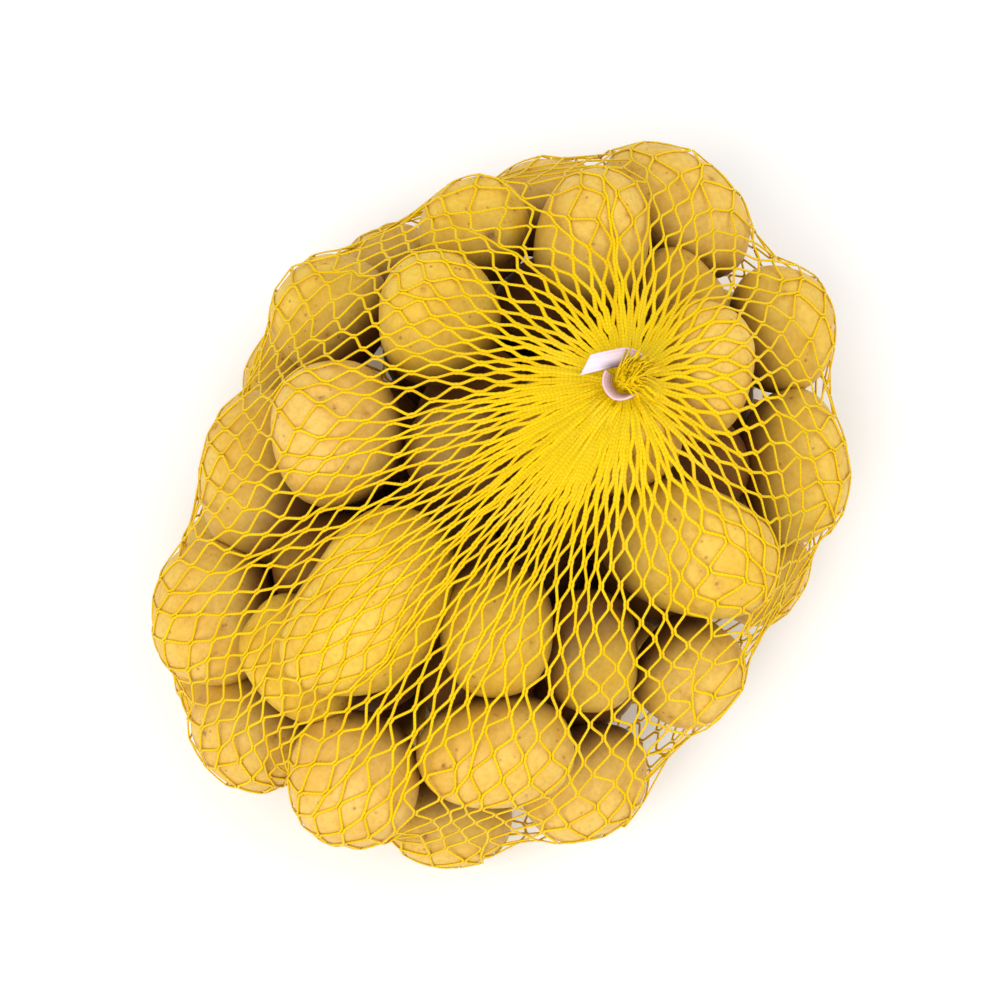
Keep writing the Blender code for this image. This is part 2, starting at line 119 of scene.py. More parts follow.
# A knob on a potato: which, the way it points, how far it stands out.
KNOBS = ((10, (-0.86, -0.46, -0.20), 0.36),)
KNOB_NARROW = 5.0
HIDDEN = 33  # potatoes that fill the inside and the underside
HIDDEN_LOW = 13  # of these, the ones that the bag lies on
HIDDEN_LONG = (50.0, 62.0)
HIDDEN_WIDE = (42.0, 50.0)
HIDDEN_ROOM = np.array([160.0, 124.0, 56.0])  # half sizes of the room they fill, above the
HIDDEN_ROOM_BELOW = np.array([160.0, 124.0, 78.0])  # bag's middle and below it
LOW_ROOM = np.array([152.0, 120.0, 1000.0])  # the ones it lies on only stay in along x and y
HEAP_FOOT = 10.0  # height of the point that hidden potatoes crowd toward
NECK_ROOM = 15.0  # potatoes keep this far from the top of the underside neck
NECK_RAISED = 4.0
CLIP_ROOM = 9.5  # and the net this far from the line of a neck, beside the clip
CLIP_BELOW = 3.0  # which starts this far short of it
THICKNESS = 0.93  # height of a potato, as a share of its width
SEED = 62

SQUARENESS = 2.25  # 2 is an ellipsoid, more is fuller at the shoulders
LUMPS = 4
LUMP_DEEP = 0.022
LUMP_WAVES = (2.0, 4.5)
TAPER = 0.05
SKIN = 0.975  # mean distance of the skin, in half sizes

TRIAL_PLACES = 6000
SETTLE_ROUNDS = 500
HOLD = 0.3  # how firmly a potato that shows keeps its place
LOW_HOLD = 0.1  # and one that the bag lies on
SHOWN_GIVE = 0.25  # how much those that show give way to others
PULL = 0.25  # how far the hidden ones crowd in at each round, at first

NET_ROUNDS = 500
SLACK = 0.22  # push of a slack thread, against its pull when taut
EVEN_FIRST, EVEN = 0.4, 0.1  # evening of the knots, in the first third and after it
FINE = 720  # steps in a fine circle

MM = 0.001
UP = np.array([0.0, 0.0, 1.0])

# ---- Where the looks differ from the CAD ----

KNOTS_ROUND = 62  # knots in a row
ROWS = 41  # from neck to neck
LOOSE = 30.0  # the net starts this far outside the bag
NEAR = 1.4  # no skin comes farther than this, in half lengths
# Lean of the top strip at each angle, more where its inner face shows.
TOP_LEANS = ((160, 25), (195, 34), (240, 38), (285, 20), (350, 10), (440, 76))

# ---- What only the looks have ----

SHOWN_GRID, HIDDEN_GRID = 23, 20  # squares along a side of a potato's cube
EYES = (5, 9)  # eyes on a potato
EYE_WIDE = (1.8, 3.4)
EYE_DEEP = (0.4, 1.0)
# Eyes that stand out: which potato, x and y seen from above, width.
EYES_SEEN = (
    (10, -52, -22, 2.6),
    (10, -50, -50, 2.6),
    (10, -81, -49, 2.8),
    (10, -23, -42, 2.4),
    (6, -67, 27, 2.4),
    (6, -53, 25, 2.2),
    (2, -5, 107, 6.0),
    (2, 5, 120, 2.4),
    (9, -114, -55, 2.6),
    (19, 58, -38, 2.0),
    (19, 60, -32, 1.8),
    (19, 65, -39, 2.2),
    (19, 79, -40, 2.0),
    (19, 85, -44, 2.2),
    (19, 90, -48, 1.8),
    (19, 72, -12, 1.8),
)
SEEN_DEEP = 0.9
SEEN_RISE = 0.02  # keeps an eye that is placed outside a potato on its rim
EYE_MEASURE = 1.9  # where the skin's colour has an eye of that width
EYE_TURN = math.pi * (3 - math.sqrt(5))  # spreads the eyes evenly round a potato
EYE_STRAY = 0.08
EYE_ENDS = 0.96  # how near a potato's ends an eye may be
NO_EYE = 99.0
BROW_AT, BROW_WIDE = 1.5, 0.7  # raised skin beside an eye, in its widths
BROW_HIGH = 0.35
BROW_SOFT = 0.5
MOST_RAISED = 0.2
DENTS = (3, 6)  # wider, shallower hollows
DENT_WIDE = (7.0, 13.0)
DENT_DEEP = (0.3, 0.9)

STRAND_WIDE, STRAND_THICK = 1.2, 0.84
STRAND_SIDES = 6
STRAND_CLEAR = 0.03
JOINED = 1.25  # half the length that two strands run side by side
JOINED_END, JOINED_MIDDLE = 0.40, 0.72  # how far each lies from the middle there
TIGHT_END, TIGHT_MIDDLE = 0.2, 0.33  # the same as shares of the room, where strands crowd
BETWEEN_KNOTS = (0.22, 0.5, 0.78)
KNOT_POINTS = 6  # points of a strand's middle line from knot to knot
END_POINTS = 8  # points of it in a neck and a cut end
STRAND_ROUNDS = 3
STRAND_EASE = 0.15  # how far a bend is rounded each time
NORMAL_ROUNDS, SIZE_ROUNDS = 4, 3
UNEVEN = (0.11, 0.18, 0.05)  # knots out of place: each alone, whole columns, along the net
UNEVEN_COLUMNS = (12, 0)  # how often that is smoothed, down the net and round it
UNEVEN_ALONG = (1, 1)
UNEVEN_FROM = (2, 10)  # rows below the top clip over which knots get out of place
UNEVEN_MOST = 1.8
SHIFT_MOST = 0.8
PILE = 0.75  # how thick strands pile where they crowd, for each layer
PILE_STRAY = 0.12
BUNDLE = 0.72  # thickness of a strand inside a neck
BUNCHES = ((62, 14, 1.6), (238, 28, 0.9))  # headings with more strands, width, how much
BROAD = 0.65  # how much broader a strand lies beside a neck
BROAD_NEAR = (30.0, 75.0)  # from where to where that fades

NECK_STRAY = 0.35  # how far strands wander round the neck
NECK_EVENS = 0.3  # how much less the innermost strands wander
NECK_MARGIN = 0.4
NECK_FOOT = 0.2  # where a strand enters its neck
NECK_STOPS = (0.3, 0.65, 1.0)  # and its points from there to the clip's end
TAIL_STOPS = (0.25, 0.5, 0.75, 1.0)  # along a strand's cut end
TUFT_TURN = (-1.1, 1.0)  # turn of a cut end from the tuft's way, in radians
TUFT_RISE = (1.4, 3.2)
TUFT_CLEARS = 3.0  # how much higher the tuft goes where the strip climbs
TUFT_FAR = (5.0, 13.0)
TUFT_DROP = (0.6, 1.0)
TUFT_DROPS = 0.95
TUFT_STRAY = 0.8
TUFT_PEAK = 0.75
TUFT_BENDS = 0.35  # where along a cut end it starts to fall
STUB_FAR = (0.5, 3.5)
STUB_DROP = (2.0, 6.0)

WRAP_STATIONS, TAB_STATIONS = 61, 18
TAB_STARTS = 0.06
TAB_BENDS = 0.5
SKEWED_STATIONS = 8
EDGE_STEPS = 7  # points round each edge of the strip, and up each side
WRAP_SHADE_FADES = (50, 62, 72)  # stations over which the strip's painted shade, a pinkish grey, turns to white
WRAP_SHADE_SHARES = (1, 0.55, 0)
FOLD_SHADOW_SPAN = (50, 56, 66, 72)  # stations along the painted shadow at the tab's foot, where the strip folds
FOLD_SHADOW_SHARES = (0, 1, 1, 0)
FOLD_SHADOW_HIGH = 0.5

# Colours as on screen, 0 to 255. Of two, each potato, strand or patch is in between.
SKIN_BASE = ((222, 187, 66), (222, 184, 92))
SKIN_WARM = ((212, 167, 34), (214, 165, 58))
SKIN_MOTTLED = (197, 146, 42)
SKIN_FLECK = (140, 84, 36)
# Painted shade on skins deep in the bag, between the potatoes.
SKIN_PAINTED_SHADE = (84, 34, 18)
EYE_RIM = (186, 122, 50)
EYE_PIT = (104, 68, 24)
YARN = ((222, 181, 0), (236, 198, 0))
# Painted shade in the grooves between the stitches.
YARN_GROOVE_SHADE = (198, 144, 0)
YARN_WORN = (246, 224, 96)
PLASTIC = ((214, 206, 224), (222, 214, 220))
# Painted shade: the pinkish grey of the strip's wound part.
PLASTIC_WRAP_SHADE = (216, 184, 192)
# Painted shadow along the fold at the tab's foot.
PLASTIC_FOLD_SHADOW = (84, 50, 66)
FLOOR = 0.93

PAINTED_SHADE_REACH = (7.0, 26.0)  # how far from the net the painted shade on a skin starts, and where it is darkest
PAINTED_SHADE_MOST = 0.9
SKIN_GLOSS, DULL_GLOSS = 0.35, 0.08  # of potatoes that show, and of those behind
# Scales of the materials' noises, in cells to a metre.
PATCHES, MOTTLE, FLECKS, FLECK_PATCHES = 45.0, 420.0, 240.0, 130.0
RAGGED, GRAIN = 700.0, 1300.0
WORN_PATCHES = 60.0
CLOUDS, STREAKS = 90.0, 900.0
STITCH = 1.7  # length of a stitch along a strand
STITCH_SLANT = 1.9

CAMERA_FAR = 1100.0
CAMERA_TILT = 78.0
CAMERA_LENS = 94.3
CAMERA_SENSOR = 36.0
AIM = (-1.3, 2.6, 75.0)
# Name, place as seen from above, size in metres, watts, colour.
LIGHTS = (
    ("key", (-420, -560, 1150), 1.0, 9.5, (1.0, 0.98, 0.95)),
    ("fill", (700, 250, 1000), 1.2, 4.5, (0.98, 0.98, 1.0)),
)
SKY = 0.84
FLOOR_HALF = 6.0  # metres


def turn_about_z(degrees):
    a = math.radians(degrees)
    return np.array([[math.cos(a), -math.sin(a), 0], [math.sin(a), math.cos(a), 0], [0, 0, 1]])


def place(points):
    """From the layout seen from above, in millimetres, to the frame, in metres."""
    return (np.asarray(points) @ turn_about_z(BAG_HEADING) - np.array([*BAG_CENTRE, 0])) * MM


# ---- Potatoes, as in the CAD source ----


class Potatoes:
    """Middles, half sizes and turns of all potatoes, and the lumps of each."""

    def __init__(self, middles, halves, turns):
        self.middles = middles
        self.halves = halves
        self.turns = turns
        rng = np.random.default_rng(SEED)
        count = len(middles)
        waves = rng.normal(size=(count, LUMPS, 3))
        waves /= np.linalg.norm(waves, axis=2, keepdims=True)
        self.waves = waves * rng.uniform(*LUMP_WAVES, (count, LUMPS, 1))
        self.phases = rng.uniform(0, 2 * math.pi, (count, LUMPS))
        self.taper = rng.uniform(-TAPER, TAPER, count)
        self.knobs = np.zeros((count, 3))
        self.rise = np.zeros(count)
        for which, way, rise in KNOBS:
            self.knobs[which] = np.array(way) @ turns[which]
            self.rise[which] = rise

    def reach(self, which, rays):
        """How far each potato comes along unit rays, in its own half sizes."""
        full = SKIN * (np.abs(rays) ** SQUARENESS).sum(axis=-1) ** (-1 / SQUARENESS)
        swing = np.cos((self.waves[which] * rays[..., None, :]).sum(-1) + self.phases[which])
        knob = (self.knobs[which] * rays).sum(axis=-1) - 1
        knob = self.rise[which] * np.exp(KNOB_NARROW * knob)
        return full * (1 + self.taper[which] * rays[..., 0] + LUMP_DEEP * swing.sum(axis=-1) + knob)

    def shift_out(self, points, clear, skip=None):
        """How far points that lie in a potato have to move to its skin, and `clear` more."""
        apart = points[:, None] - self.middles[None]
        near = (apart**2).sum(axis=2) < ((self.halves.max(axis=1) * NEAR + clear) ** 2)[None]
        if skip is not None:
            near[:, skip] = False
        rows, which = np.nonzero(near)
        total = np.zeros_like(points)
        count = np.zeros(len(points))
        local = np.einsum("ni,nij->nj", apart[rows, which], self.turns[which])
        halves = self.halves[which] + clear
        scaled = local / halves
        depth = np.linalg.norm(scaled, axis=1) + 1e-9
        rays = scaled / depth[:, None]
        skin = self.reach(which, rays)
        inside = depth < skin
        rows, which = rows[inside], which[inside]
        moved = rays[inside] * skin[inside, None] * halves[inside]
        moved = np.einsum("nij,nj->ni", self.turns[which], moved) + self.middles[which]
        np.add.at(total, rows, moved - points[rows])
        np.add.at(count, rows, 1)
        return total / np.maximum(count, 1)[:, None]

    def push_out(self, points, clear):
        return points + self.shift_out(points, clear)


def balls_of(middles, turns, halves):
    radius = halves[:, 1:].mean(axis=1)
    along = turns[:, :, 0] * (halves[:, 0] - radius)[:, None]
    steps = np.array([-1.0, 0.0, 1.0])
    return middles[:, None] + steps[None, :, None] * along[:, None], radius


def keep_in_bag(balls, radius, below, free, low):
    turn = turn_about_z(BAG_HEADING)
    local = (balls - BAG_MIDDLE * UP) @ turn
    upper = local[..., 2:] > 0
    room = np.where(upper, HIDDEN_ROOM, HIDDEN_ROOM_BELOW)
    room = np.where(low[:, None, None], LOW_ROOM, room) - radius[:, None, None]
    depth = np.linalg.norm(local / room, axis=-1, keepdims=True)
    push = (local / np.maximum(depth, 1) - local) @ turn.T * free[:, None, None]
    lift = np.maximum(0, below[:, None] + LIE - balls[..., 2])
    push[..., 2] = np.where(lift > 0, lift, push[..., 2])
    return push.mean(axis=1)


def keep_off_base_neck(balls, radius):
    apart = balls - np.array(BASE_NECK) + NECK_RAISED * UP
    far = np.linalg.norm(apart, axis=-1)
    over = np.maximum(0, radius[:, None] + NECK_ROOM - far)
    return (apart / far[..., None] * over[..., None]).mean(axis=1)


def settle(middles, turns, halves, free, low):
    """Pushes potatoes apart: shown ones stay near their places, hidden ones fill up."""
    places = middles.copy()
    count = len(middles)
    hold = np.where(low, LOW_HOLD, HOLD)[:, None]
    crowding = (free & ~low)[:, None]
    owner = np.repeat(np.arange(count), 3)
    other = owner[:, None] != owner[None]
    for step in range(SETTLE_ROUNDS):
        balls, radius = balls_of(middles, turns, halves)
        spots = balls.reshape(-1, 3)
        sizes = np.repeat(radius, 3)
        apart = spots[:, None] - spots[None]
        far = np.linalg.norm(apart, axis=2) + 1e-9
        over = np.maximum(0, sizes[:, None] + sizes[None] - far) * other
        shove = (over / far)[:, :, None] * apart * 0.5
        push = np.zeros((count, 3))
        touching = np.zeros(count)
        np.add.at(push, owner, shove.sum(axis=1))
        np.add.at(touching, owner, (over > 0).sum(axis=1))
        push /= np.maximum(1, touching / 2)[:, None]
        give = np.where(free, 1.0, SHOWN_GIVE)[:, None]
        toward = np.array([0, 0, HEAP_FOOT]) - middles
        toward /= np.linalg.norm(toward, axis=1)[:, None] + 1e-9
        pull = PULL * (1 - step / SETTLE_ROUNDS) * toward
        drift = np.where(crowding, pull, hold * (places - middles))
        middles = middles + push * give + drift
        middles = middles + keep_in_bag(balls, radius, halves[:, 2], free, low)
        middles = middles + keep_off_base_neck(balls, radius)
        middles[:, 2] = np.where(low, halves[:, 2] + LIE, middles[:, 2])
    return middles


def open_places(middles, rng):
    """Places for the hidden potatoes, each as far as can be from all placed so far."""
    spots = rng.uniform(-1, 1, (TRIAL_PLACES, 3))
    spots = spots[(spots**2).sum(axis=1) < 1]
    low = spots * (LOW_ROOM - HIDDEN_WIDE[1] / 2) * (1, 1, 0)
    spots *= np.where(spots[:, 2:] > 0, HIDDEN_ROOM, HIDDEN_ROOM_BELOW) - HIDDEN_WIDE[1] / 2
    turn = turn_about_z(BAG_HEADING)
    low = low @ turn.T + HIDDEN_WIDE[0] / 2 * UP
    spots = spots @ turn.T + BAG_MIDDLE * UP
    found = [np.array([BASE_NECK])]
    for spots, count in ((low, HIDDEN_LOW), (spots, HIDDEN - HIDDEN_LOW)):
        for _ in range(count):
            have = np.vstack([middles] + found)
            room = np.linalg.norm(spots[:, None] - have[None], axis=2).min(axis=1)
            found.append(spots[room.argmax()][None])
    return np.vstack(found[1:])


def make_potatoes():
    rng = np.random.default_rng(SEED)
    shown = np.array(SHOWN, float)
    places = np.vstack([shown[:, :3], open_places(shown[:, :3], rng)])
    long = np.concatenate([shown[:, 3], rng.uniform(*HIDDEN_LONG, HIDDEN)])
    wide = np.concatenate([shown[:, 4], rng.uniform(*HIDDEN_WIDE, HIDDEN)])
    heading = np.concatenate([shown[:, 5], rng.uniform(0, 180, HIDDEN)])
    halves = np.stack([long, wide, wide * THICKNESS], axis=1) / 2
    turns = np.stack([turn_about_z(a) for a in heading])
    free = np.arange(len(places)) >= len(SHOWN)
    low = free & (np.arange(len(places)) < len(SHOWN) + HIDDEN_LOW)
    return Potatoes(settle(places, turns, halves, free, low), halves, turns)


# ---- Knots of the net, as in the CAD source ----


def net_links():
    """The four knots that each knot is tied to: two in the row above, two below."""
    rows, places = np.meshgrid(np.arange(ROWS + 1), np.arange(KNOTS_ROUND), indexing="ij")
    shift = np.where(rows % 2 == 0, -1, 1)
    links = []
    for step in (-1, 1):
        for side in (0, shift):
            row = np.clip(rows + step, 0, ROWS)
            links.append(row * KNOTS_ROUND + (places + side) % KNOTS_ROUND)
    return np.stack(links, axis=-1).reshape(-1, 4)


def balloon_half():
    return np.array([BAG_LONG / 2, BAG_WIDE / 2, BAG_HIGH - BAG_MIDDLE]) + LOOSE


def net_axis(share):
    top = np.array(TOP_NECK) - BAG_MIDDLE * UP
    base = np.array([BASE_NECK[0], BASE_NECK[1], -balloon_half()[2]])
    along = (1 - share) * top / np.linalg.norm(top) - share * base / np.linalg.norm(base)
    along /= np.linalg.norm(along)
    across = np.cross(UP, along)
    across /= np.linalg.norm(across)
    return along, across, np.cross(along, across)


def round_angles():
    """Angles of whole and half knot places: more of them toward the bag's far ends."""
    _, across, third = net_axis(0.0)
    fine = np.linspace(0, 2 * math.pi, FINE + 1)
    rays = np.cos(fine)[:, None] * across + np.sin(fine)[:, None] * third
    flat = (rays @ turn_about_z(BAG_HEADING))[:, :2]
    flat /= np.linalg.norm(flat, axis=1)[:, None]
    start = (np.array(TOP_NECK) * (1, 1, 0) @ turn_about_z(BAG_HEADING))[:2]
    half = np.array([BAG_LONG, BAG_WIDE]) / 2
    a = ((flat / half) ** 2).sum(axis=1)
    b = (flat * start / half**2).sum(axis=1)
    c = ((start / half) ** 2).sum() - 1
    edge = (np.sqrt(b * b - a * c) - b) / a
    dense = (edge[1:] + edge[:-1]) ** CROWDING
    heading = np.degrees(np.arctan2(rays[:-1, 1], rays[:-1, 0]))
    for toward, wide, more in BUNCHES:
        off = (heading - toward + 180) % 360 - 180
        dense = dense * (1 + more * np.exp(-((off / wide) ** 2)))
    share = np.concatenate([[0], np.cumsum(dense)])
    places = np.arange(2 * KNOTS_ROUND) / (2 * KNOTS_ROUND)
    return np.interp(places, share / share[-1], fine)


def neck_rays(share, step):
    """Level unit rays from a neck's middle toward the knots, or the strands, round it."""
    angles = round_angles()[::step]
    _, across, third = net_axis(share)
    rays = np.cos(angles)[:, None] * across + np.sin(angles)[:, None] * third
    rays[:, 2] = 0
    return rays / np.linalg.norm(rays, axis=1)[:, None]


def loose_net():
    turn = turn_about_z(BAG_HEADING)
    angles = round_angles()
    rows = []
    for row in range(ROWS + 1):
        along, across, third = net_axis(row / ROWS)
        tilt = math.pi * row / ROWS
        a = angles[row % 2 :: 2][:, None]
        rays = math.sin(tilt) * (np.cos(a) * across + np.sin(a) * third) + math.cos(tilt) * along
        stretch = 1 / np.linalg.norm(rays @ turn / balloon_half(), axis=-1, keepdims=True)
        rows.append(BAG_MIDDLE * UP + rays * stretch)
    rows[0] = np.array(TOP_NECK) + NECK_RADIUS * neck_rays(0.0, 2)
    rows[-1] = np.array(BASE_NECK) + NECK_RADIUS * neck_rays(1.0, 2)
    return np.vstack(rows)


def keep_off_clips(knots):
    for neck, way in ((TOP_NECK, 1), (BASE_NECK, -1)):
        aside = (knots - np.array(neck)) * (1, 1, 0)
        far = np.linalg.norm(aside, axis=1) + 1e-9
        beside = (far < CLIP_ROOM) & ((knots[:, 2] - neck[2]) * way > -CLIP_BELOW)
        knots = knots + np.where(beside, CLIP_ROOM / far - 1, 0)[:, None] * aside
    return knots


def draw_tight(knots, potatoes):
    """Lets the threads pull the knots onto the potatoes and down to the surface."""
    links = net_links()
    row = np.repeat(np.arange(ROWS + 1), KNOTS_ROUND)
    held = (row == 0) | (row == ROWS)
    clear = THREAD / 2
    for number in range(NET_ROUNDS):
        apart = knots[links] - knots[:, None]
        far = np.linalg.norm(apart, axis=2) + 1e-9
        stretch = far - MESH_SIDE
        gain = np.where(stretch > 0, 1.0, SLACK)
        step = ((gain * stretch / far)[..., None] * apart).mean(axis=1)
        even = (EVEN_FIRST if number < NET_ROUNDS / 3 else EVEN) * apart.mean(axis=1)
        moved = keep_off_clips(potatoes.push_out(knots + step + even, clear))
        moved[:, 2] = np.maximum(moved[:, 2], 0)
        knots = np.where(held[:, None], knots, moved)
    return knots


# ---- Meshes ----


def new_mesh_object(name, points, quads, material, uvs=None, values=()):
    """A smooth mesh from arrays. `values` are (attribute name, one number per point)."""
    mesh = bpy.data.meshes.new(name)
    mesh.vertices.add(len(points))
    mesh.vertices.foreach_set("co", np.asarray(points, np.float32).ravel())
    mesh.loops.add(quads.size)
    mesh.loops.foreach_set("vertex_index", np.asarray(quads, np.int32).ravel())
    mesh.polygons.add(len(quads))
    mesh.polygons.foreach_set("loop_start", np.arange(0, quads.size, 4, dtype=np.int32))
    mesh.polygons.foreach_set("use_smooth", np.ones(len(quads), bool))
    mesh.update(calc_edges=True)
    if uvs is not None:
        layer = mesh.uv_layers.new(name="UVMap")
        layer.data.foreach_set("uv", np.asarray(uvs, np.float32).ravel())
    for label, numbers in values:
        attribute = mesh.attributes.new(label, "FLOAT", "POINT")
        attribute.data.foreach_set("value", np.asarray(numbers, np.float32))
    mesh.materials.append(material)
    made = bpy.data.objects.new(name, mesh)
    bpy.context.scene.collection.objects.link(made)
    return made


def round_cube(grid):
    """Unit rays over a cube whose sides have `grid` squares, and its faces."""
    steps = np.tan(np.linspace(-1, 1, grid + 1) * math.pi / 4)
    u, v = np.meshgrid(steps, steps, indexing="ij")
    one = np.ones_like(u)
    sides = ((one, u, v), (-one, v, u), (v, one, u), (u, -one, v), (u, v, one), (v, u, -one))
    rays = np.vstack([np.stack(side, axis=-1).reshape(-1, 3) for side in sides])
    corner = np.arange((grid + 1) ** 2).reshape(grid + 1, grid + 1)
    square = np.stack([corner[:-1, :-1], corner[1:, :-1], corner[1:, 1:], corner[:-1, 1:]], -1)
    square = square.reshape(-1, 4)
    faces = np.vstack([square + side * (grid + 1) ** 2 for side in range(6)])
    _, first, index = np.unique(np.round(rays, 6), axis=0, return_index=True, return_inverse=True)
    rays = rays[first] / np.linalg.norm(rays[first], axis=1)[:, None]
    return rays, index.reshape(-1)[faces]


def unit(vectors):
    return vectors / (np.linalg.norm(vectors, axis=-1, keepdims=True) + 1e-12)


def potato_surface(potatoes, which, grid, rng):
    """Points and faces of one potato, with its eyes, and how far each point is from an eye."""
    rays, faces = round_cube(grid)
    halves = potatoes.halves[which]
    points = rays * potatoes.reach(np.full(len(rays), which), rays)[:, None] * halves
    out = unit(rays / halves)
    seen = [eye for eye in EYES_SEEN if eye[0] == which]
    eyes = int(rng.integers(*EYES))
    spread = 2 * math.pi * rng.uniform() + np.arange(eyes) * EYE_TURN
    height = 1 - 2 * (np.arange(eyes) + 0.5) / eyes + rng.normal(0, EYE_STRAY, eyes)
    height = np.clip(height, -EYE_ENDS, EYE_ENDS)
    ring = np.sqrt(1 - height**2)
    ways = np.stack([height, ring * np.cos(spread), ring * np.sin(spread)], axis=1)
    centres = ways * potatoes.reach(np.full(eyes, which), ways)[:, None] * halves
    eye_far = np.full(len(points), NO_EYE)
    sink = np.zeros(len(points))
    sizes = [(rng.uniform(*EYE_WIDE), rng.uniform(*EYE_DEEP)) for _ in centres]
    for _, x, y, wide in seen:
        flat = np.array([x, y, 0]) - potatoes.middles[which] * (1, 1, 0)
        way = (flat @ potatoes.turns[which]) / halves
        way[2] = math.sqrt(max(SEEN_RISE, 1 - way[0] ** 2 - way[1] ** 2))
        reach = potatoes.reach(np.array([which]), unit(way)[None])
        centres = np.vstack([centres, unit(way) * reach * halves])
        sizes.append((wide, SEEN_DEEP))
    for centre, (wide, deep) in zip(centres, sizes):
        across = unit(np.cross(unit(centre), rng.normal(size=3)))
        far = np.linalg.norm(points - centre, axis=1)
        brow = ((points - centre) @ across) / (far + BROW_SOFT)
        sink += deep * np.exp(-((far / wide) ** 2))
        ridge = np.exp(-(((far / wide - BROW_AT) / BROW_WIDE) ** 2)) * np.clip(brow, 0, 1)
        sink -= BROW_HIGH * deep * ridge
        eye_far = np.minimum(eye_far, far * EYE_MEASURE / wide)
    for _ in range(int(rng.integers(*DENTS))):
        way = unit(rng.normal(size=3))
        far = np.linalg.norm(points - way * halves, axis=1)
        wide, deep = rng.uniform(*DENT_WIDE), rng.uniform(*DENT_DEEP)
        sink += deep * np.exp(-((far / wide) ** 2))
    points = points - np.maximum(sink, -MOST_RAISED)[:, None] * out
    points = points @ potatoes.turns[which].T + potatoes.middles[which]
    points = points + potatoes.shift_out(points, 0.0, skip=which) / 2
    return points, faces, eye_far


def depth_for_painted_shade(points, knots):
    """How far each point lies from the net, for the shade that is painted on skins deep in the bag.
    """
    tree = KDTree(len(knots))
    for number, knot in enumerate(knots):
        tree.insert(knot, number)
    tree.balance()
    return np.array([tree.find(point)[2] for point in points])


def add_potatoes(name, potatoes, numbers, grid, material, knots, rng):
    points, faces, eyes, tints = [], [], [], []
    start = 0
    for which in numbers:
        surface, squares, eye_far = potato_surface(potatoes, which, grid, rng)
        points.append(surface)
        faces.append(squares + start)
        eyes.append(eye_far)
        tints.append(np.full(len(surface), rng.uniform()))
        start += len(surface)
    points = np.vstack(points)
    values = [("eye_far", np.concatenate(eyes)), ("tint", np.concatenate(tints))]
    # Distance from the net, which the skin material turns into painted shade.
    values.append(("deep", depth_for_painted_shade(points, knots)))
    return new_mesh_object(name, place(points), np.vstack(faces), material, values=values)


# ---- Strands ----


def strand_places():
    """For each strand and row, which knot it is at and on which side of it."""
    strands = np.arange(2 * KNOTS_ROUND)[:, None]
    rows = np.arange(ROWS + 1)[None]
    angle = strands + (strands + rows) % 2
    side = np.where(angle == strands, 1.0, -1.0)
    return rows * KNOTS_ROUND + (angle // 2) % KNOTS_ROUND, side


def net_ways(knots):
    """At each knot the ways round the bag, down the net and out, and the room beside it."""
    grid = knots.reshape(ROWS + 1, KNOTS_ROUND, 3)
    links = net_links()
    around = np.roll(grid, -1, axis=1) - np.roll(grid, 1, axis=1)
    room = np.linalg.norm(around, axis=2).reshape(-1) / 2
    around = unit(around).reshape(-1, 3)
    down = unit(knots[links[:, 2:]].mean(axis=1) - knots[links[:, :2]].mean(axis=1))
    out = unit(np.cross(down, around))
    down = unit(np.cross(around, out))
    return around, down, out, room


def neck_path(neck, way, stand, rays, deep, rng):
    """Each strand's way through a clip, from the net outward, as far in as `deep` says."""
    ups = np.array([NECK_FOOT, *(stop * (stand + CLIP_BAND) for stop in NECK_STOPS)])
    swirl = rng.normal(0, NECK_STRAY, (len(rays), len(ups), 1))
    side = np.stack([-rays[:, 1], rays[:, 0], rays[:, 2]], axis=1)
    reach = (NECK_RADIUS - NECK_MARGIN) * np.sqrt(deep)[:, None, None]
    inner = rays[:, None] * reach + side[:, None] * swirl * (1 - NECK_EVENS * deep)[:, None, None]
    path = np.array(neck) + inner
    path[..., 2] += way * ups
    return path


def top_tuft(start, rng):
    """Cut ends that rise out of the top clip and flop over its open side."""
    count = len(start)
    heading = math.atan2(TUFT_WAY[1], TUFT_WAY[0]) + rng.uniform(*TUFT_TURN, count)
    way = np.stack([np.cos(heading), np.sin(heading), np.zeros(count)], axis=1)
    rise = (rng.uniform(*TUFT_RISE, count) + TUFT_CLEARS * np.clip(heading, 0, 1))[:, None]
    far = rng.uniform(*TUFT_FAR, count)[:, None]
    drop = rng.uniform(*TUFT_DROP, count)[:, None] * far * TUFT_DROPS
    side = np.cross(UP, way) * rng.normal(0, TUFT_STRAY, count)[:, None]
    path = []
    for t in TAIL_STOPS:
        fall = drop * max(0, t - TUFT_BENDS) ** 1.5
        lift = rise * math.sin(math.pi * min(t, TUFT_PEAK)) - fall
        path.append(start + way * far * t**1.2 + lift * UP + side * t * t)
    return np.stack(path, axis=1)


def base_tuft(start, rays, rng):
    """Short cut ends under the base clip, splayed a little."""
    count = len(start)
    far = rng.uniform(*STUB_FAR, count)[:, None]
    drop = rng.uniform(*STUB_DROP, count)[:, None]
    path = [start + rays * far * t * t - drop * t * UP for t in TAIL_STOPS]
    return np.stack(path, axis=1)


def smooth_field(rng, rounds):
    """A random number for each knot, smoothed down the net and round it."""
    field = rng.normal(size=(ROWS + 1, KNOTS_ROUND))
    down, across = rounds
    for _ in range(down):
        field[1:-1] = (field[:-2] + 2 * field[1:-1] + field[2:]) / 4
    for _ in range(across):
        field = (np.roll(field, 1, axis=1) + 2 * field + np.roll(field, -1, axis=1)) / 4
    return np.clip(field / field.std(), -UNEVEN_MOST, UNEVEN_MOST)


